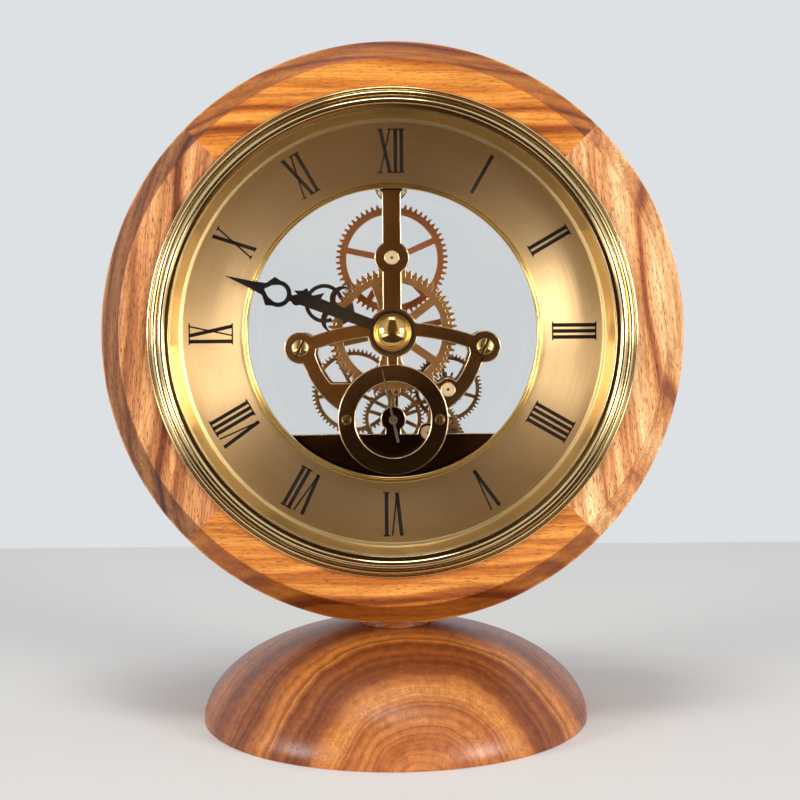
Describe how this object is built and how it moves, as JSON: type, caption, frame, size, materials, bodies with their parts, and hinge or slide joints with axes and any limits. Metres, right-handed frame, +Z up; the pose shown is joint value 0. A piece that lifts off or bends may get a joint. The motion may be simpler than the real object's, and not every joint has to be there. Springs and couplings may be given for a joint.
{
  "type": "desk clock",
  "caption": "Round desk clock with an open gear movement behind a ring dial with Roman hours, held in a chamfered wooden ring on a turned half-dome wooden base.",
  "frame": {"origin": "centre of the base's flat underside, on the surface the clock stands on", "axes": "+Z up, the dial faces -Y, +X is to the right as the dial is read"},
  "size_m": [0.18, 0.12, 0.21],
  "materials": {
    "base_wood": "oiled hardwood with an arched grain",
    "ring_wood": "oiled hardwood with dark pores",
    "neck_wood": "oiled hardwood",
    "wood_screw": "zinc plated",
    "bezel_brass": "polished and lacquered",
    "lens_glass": "clear mineral glass",
    "reflector_brass": "satin",
    "dial_metal": "circularly brushed champagne gold",
    "rim_brass": "polished",
    "case_plastic": "satin black",
    "grip_rubber": "matt",
    "frame_plastic": "satin dark brown",
    "window_plastic": "clear acrylic",
    "screw_steel": "nickel plated",
    "plate_brass": "polished",
    "back_brass": "polished",
    "lower_bronze": "dark polished bronze",
    "pillar_brass": "turned",
    "screw_brass": "polished dome head",
    "seconds_ring_brass": "dark polished",
    "bushing_resin": "cream acetal",
    "housing_plastic": "satin dark grey",
    "bridge_steel": "stamped",
    "cell_jacket": "plain jacket",
    "contact_steel": "nickel plated spring strip",
    "coil_copper": "enamelled copper winding",
    "stator_steel": "soft iron",
    "board_green": "solder mask",
    "magnet_dark": "ferrite magnet",
    "wheel_brass": "polished",
    "wheel_copper": "coppery bronze",
    "wheel_dark": "dark bronze",
    "arbor_steel": "polished steel",
    "hand_black": "satin black lacquer",
    "hand_silver": "thin bright strip",
    "nut_brass": "polished",
    "washer_steel": "spring steel",
    "knob_plastic": "milled edge"
  },
  "bodies": {
    "stand": {"dome_base": "base_wood", "neck": "neck_wood", "assembly_screw": "wood_screw", "ring_segment_top": "ring_wood", "ring_segment_left": "ring_wood", "ring_segment_bottom": "ring_wood", "ring_segment_right": "ring_wood"},
    "insert": {"bezel": "bezel_brass", "lens": "lens_glass", "reflector_ring": "reflector_brass", "dial": "dial_metal", "dial_rim": "rim_brass", "case_shell": "case_plastic", "grip_band": "grip_rubber", "rear_frame": "frame_plastic", "rear_window": "window_plastic", "rear_screws": "screw_steel", "front_plate": "plate_brass", "back_plate": "back_brass", "lower_plate": "lower_bronze", "plate_pillars": "pillar_brass", "plate_screws": "screw_brass", "seconds_ring": "seconds_ring_brass", "seconds_ring_screws": "screw_brass", "bushings": "bushing_resin", "movement_housing": "housing_plastic", "motor_bridge": "bridge_steel", "battery": "cell_jacket", "battery_contacts": "contact_steel", "coil": "coil_copper", "stator": "stator_steel", "circuit_board": "board_green"},
    "battery_door": {"battery_door": "frame_plastic"},
    "minute": {"centre_wheel": "wheel_brass", "minute_arbor": "arbor_steel", "minute_hand": "hand_black", "dome_nut": "nut_brass"},
    "hour": {"hour_wheel": "wheel_brass", "hour_pipe": "wheel_brass", "hour_hand": "hand_black"},
    "motion": {"motion_wheel": "wheel_copper", "motion_pinion": "arbor_steel"},
    "transfer": {"transfer_wheel": "wheel_brass", "transfer_pinion": "arbor_steel"},
    "setting": {"setting_wheel": "wheel_brass", "setting_stem": "arbor_steel", "setting_knob": "knob_plastic"},
    "third_pinion": {"third_pinion": "arbor_steel", "clutch_washer": "washer_steel"},
    "third_wheel": {"third_wheel": "wheel_brass"},
    "seconds": {"seconds_wheel": "wheel_dark", "seconds_arbor": "arbor_steel", "second_hand": "hand_silver"},
    "drive": {"drive_wheel": "wheel_brass", "drive_arbor": "arbor_steel"},
    "rotor": {"rotor": "magnet_dark"}
  },
  "joints": [
    {"name": "insert_slide", "type": "slide", "parent": "stand", "child": "insert", "axis": [0, -1, 0], "range_m": [0, 0.045]},
    {"name": "battery_door_slide", "type": "slide", "parent": "insert", "child": "battery_door", "axis": [0, 1, 0], "range_m": [0, 0.02]},
    {"name": "minute_turn", "type": "hinge", "parent": "insert", "child": "minute", "pos_m": [0, 0, 0.12001], "axis": [0, 1, 0], "continuous": true},
    {"name": "hour_turn", "type": "hinge", "parent": "insert", "child": "hour", "pos_m": [0, 0, 0.12001], "axis": [0, 1, 0], "continuous": true},
    {"name": "motion_turn", "type": "hinge", "parent": "insert", "child": "motion", "pos_m": [0, 0, 0.14331], "axis": [0, 1, 0], "continuous": true},
    {"name": "transfer_turn", "type": "hinge", "parent": "insert", "child": "transfer", "pos_m": [0.01717, 0, 0.10211], "axis": [0, 1, 0], "continuous": true},
    {"name": "setting_turn", "type": "hinge", "parent": "insert", "child": "setting", "pos_m": [0.01771, 0, 0.08652], "axis": [0, 1, 0], "continuous": true},
    {"name": "third_pinion_turn", "type": "hinge", "parent": "insert", "child": "third_pinion", "pos_m": [-0.01232, 0, 0.1014], "axis": [0, 1, 0], "continuous": true},
    {"name": "seconds_turn", "type": "hinge", "parent": "insert", "child": "seconds", "pos_m": [0, 0, 0.09291], "axis": [0, 1, 0], "continuous": true},
    {"name": "third_wheel_turn", "type": "hinge", "parent": "insert", "child": "third_wheel", "pos_m": [-0.01232, 0, 0.1014], "axis": [0, 1, 0], "continuous": true},
    {"name": "drive_turn", "type": "hinge", "parent": "insert", "child": "drive", "pos_m": [0.01085, 0, 0.08853], "axis": [0, 1, 0], "continuous": true},
    {"name": "rotor_turn", "type": "hinge", "parent": "insert", "child": "rotor", "pos_m": [0.00582, 0, 0.07774], "axis": [0, 1, 0], "continuous": true}
  ],
  "couplings": [
    {"joint": "hour_turn", "follows": "minute_turn", "ratio": 0.083333},
    {"joint": "motion_turn", "follows": "minute_turn", "ratio": -0.33333},
    {"joint": "transfer_turn", "follows": "minute_turn", "ratio": -4},
    {"joint": "setting_turn", "follows": "minute_turn", "ratio": 9},
    {"joint": "third_pinion_turn", "follows": "minute_turn", "ratio": -8},
    {"joint": "third_wheel_turn", "follows": "seconds_turn", "ratio": -0.13333},
    {"joint": "drive_turn", "follows": "seconds_turn", "ratio": -4},
    {"joint": "rotor_turn", "follows": "seconds_turn", "ratio": 30}
  ]
}
